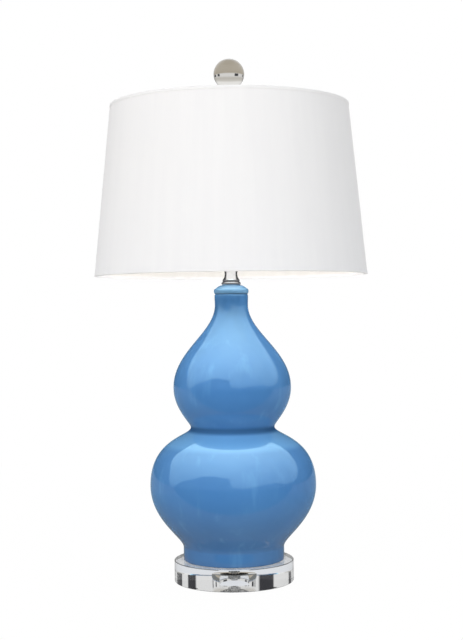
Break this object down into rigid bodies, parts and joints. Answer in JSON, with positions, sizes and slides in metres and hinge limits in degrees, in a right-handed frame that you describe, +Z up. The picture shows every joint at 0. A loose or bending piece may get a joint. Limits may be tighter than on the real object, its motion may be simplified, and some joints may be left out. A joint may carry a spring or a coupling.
{
  "type": "table lamp",
  "caption": "Table lamp with a glazed double gourd body on a clear disc, a hard-backed linen drum shade on a harp and a clear ball finial.",
  "frame": {"origin": "on the ground, under the centre of the base disc", "axes": "+Z up the lamp's axis; -Y is the front, with the switch; the harp lies in the XZ plane; the cord outlet is at +Y"},
  "size_m": [0.4063, 0.4064, 0.7796],
  "materials": {
    "blue_glaze": "high gloss cornflower-blue glaze",
    "blue_enamel": "gloss enamel matched to the glaze",
    "acrylic": "clear cast acrylic, polished",
    "bumper": "clear soft bumper",
    "zinc_steel": "zinc plated",
    "nylon": "moulded",
    "polished_nickel": "polished nickel plate",
    "card_sleeve": "insulating card",
    "black_phenolic": "moulded phenolic",
    "plain_brass": "plain",
    "frosted_glass": "frosted inside",
    "aluminium_cap": "rolled",
    "white_linen": "white linen weave",
    "styrene_liner": "white styrene sheet",
    "white_wire": "white coated wire",
    "crystal": "solid clear crystal"
  },
  "bodies": {
    "stand": {"bumper_feet": "bumper", "acrylic_base": "acrylic", "base_washer": "zinc_steel", "lock_washer": "zinc_steel", "base_nut": "zinc_steel", "lamp_pipe": "zinc_steel", "gourd_body": "blue_glaze", "cord_bushing": "nylon", "vase_cap": "blue_enamel", "neck_ring": "polished_nickel", "neck_spool": "polished_nickel", "harp_saddle": "polished_nickel", "socket_cap": "polished_nickel", "socket_shell": "polished_nickel", "socket_sleeve": "card_sleeve", "socket_block": "black_phenolic", "screw_shell": "plain_brass", "centre_contact": "plain_brass"},
    "switch": {"switch_shaft": "plain_brass", "switch_knob": "black_phenolic"},
    "bulb": {"bulb_glass": "frosted_glass", "bulb_cap": "aluminium_cap", "bulb_insulator": "black_phenolic", "bulb_button": "zinc_steel"},
    "harp": {"harp_bow": "polished_nickel", "harp_stud": "polished_nickel"},
    "left_ferrule": {"ferrule_left": "polished_nickel"},
    "right_ferrule": {"ferrule_right": "polished_nickel"},
    "shade": {"shade_linen": "white_linen", "shade_liner": "styrene_liner", "shade_top_ring": "white_wire", "shade_bottom_ring": "white_wire", "shade_top_hem": "white_linen", "shade_bottom_hem": "white_linen", "spider_arms": "polished_nickel", "spider_washer": "polished_nickel"},
    "finial": {"finial_base": "polished_nickel", "finial_ball": "crystal"}
  },
  "joints": [
    {"name": "switch_turn", "type": "hinge", "parent": "stand", "child": "switch", "pos_m": [0, -0.025, 0.50025], "axis": [0, -1, 0], "continuous": true},
    {"name": "bulb_turn", "type": "hinge", "parent": "stand", "child": "bulb", "pos_m": [0, 0, 0.53225], "axis": [0, 0, 1], "continuous": true},
    {"name": "harp_lift", "type": "slide", "parent": "stand", "child": "harp", "axis": [0, 0, 1], "range_m": [0, 0.05]},
    {"name": "left_ferrule_lift", "type": "slide", "parent": "harp", "child": "left_ferrule", "axis": [0, 0, 1], "range_m": [0, 0.0125]},
    {"name": "right_ferrule_lift", "type": "slide", "parent": "harp", "child": "right_ferrule", "axis": [0, 0, 1], "range_m": [0, 0.0125]},
    {"name": "shade_lift", "type": "slide", "parent": "harp", "child": "shade", "axis": [0, 0, 1], "range_m": [0, 0.26]},
    {"name": "finial_turn", "type": "hinge", "parent": "shade", "child": "finial", "pos_m": [0, 0, 0.70085], "axis": [0, 0, 1], "continuous": true}
  ]
}
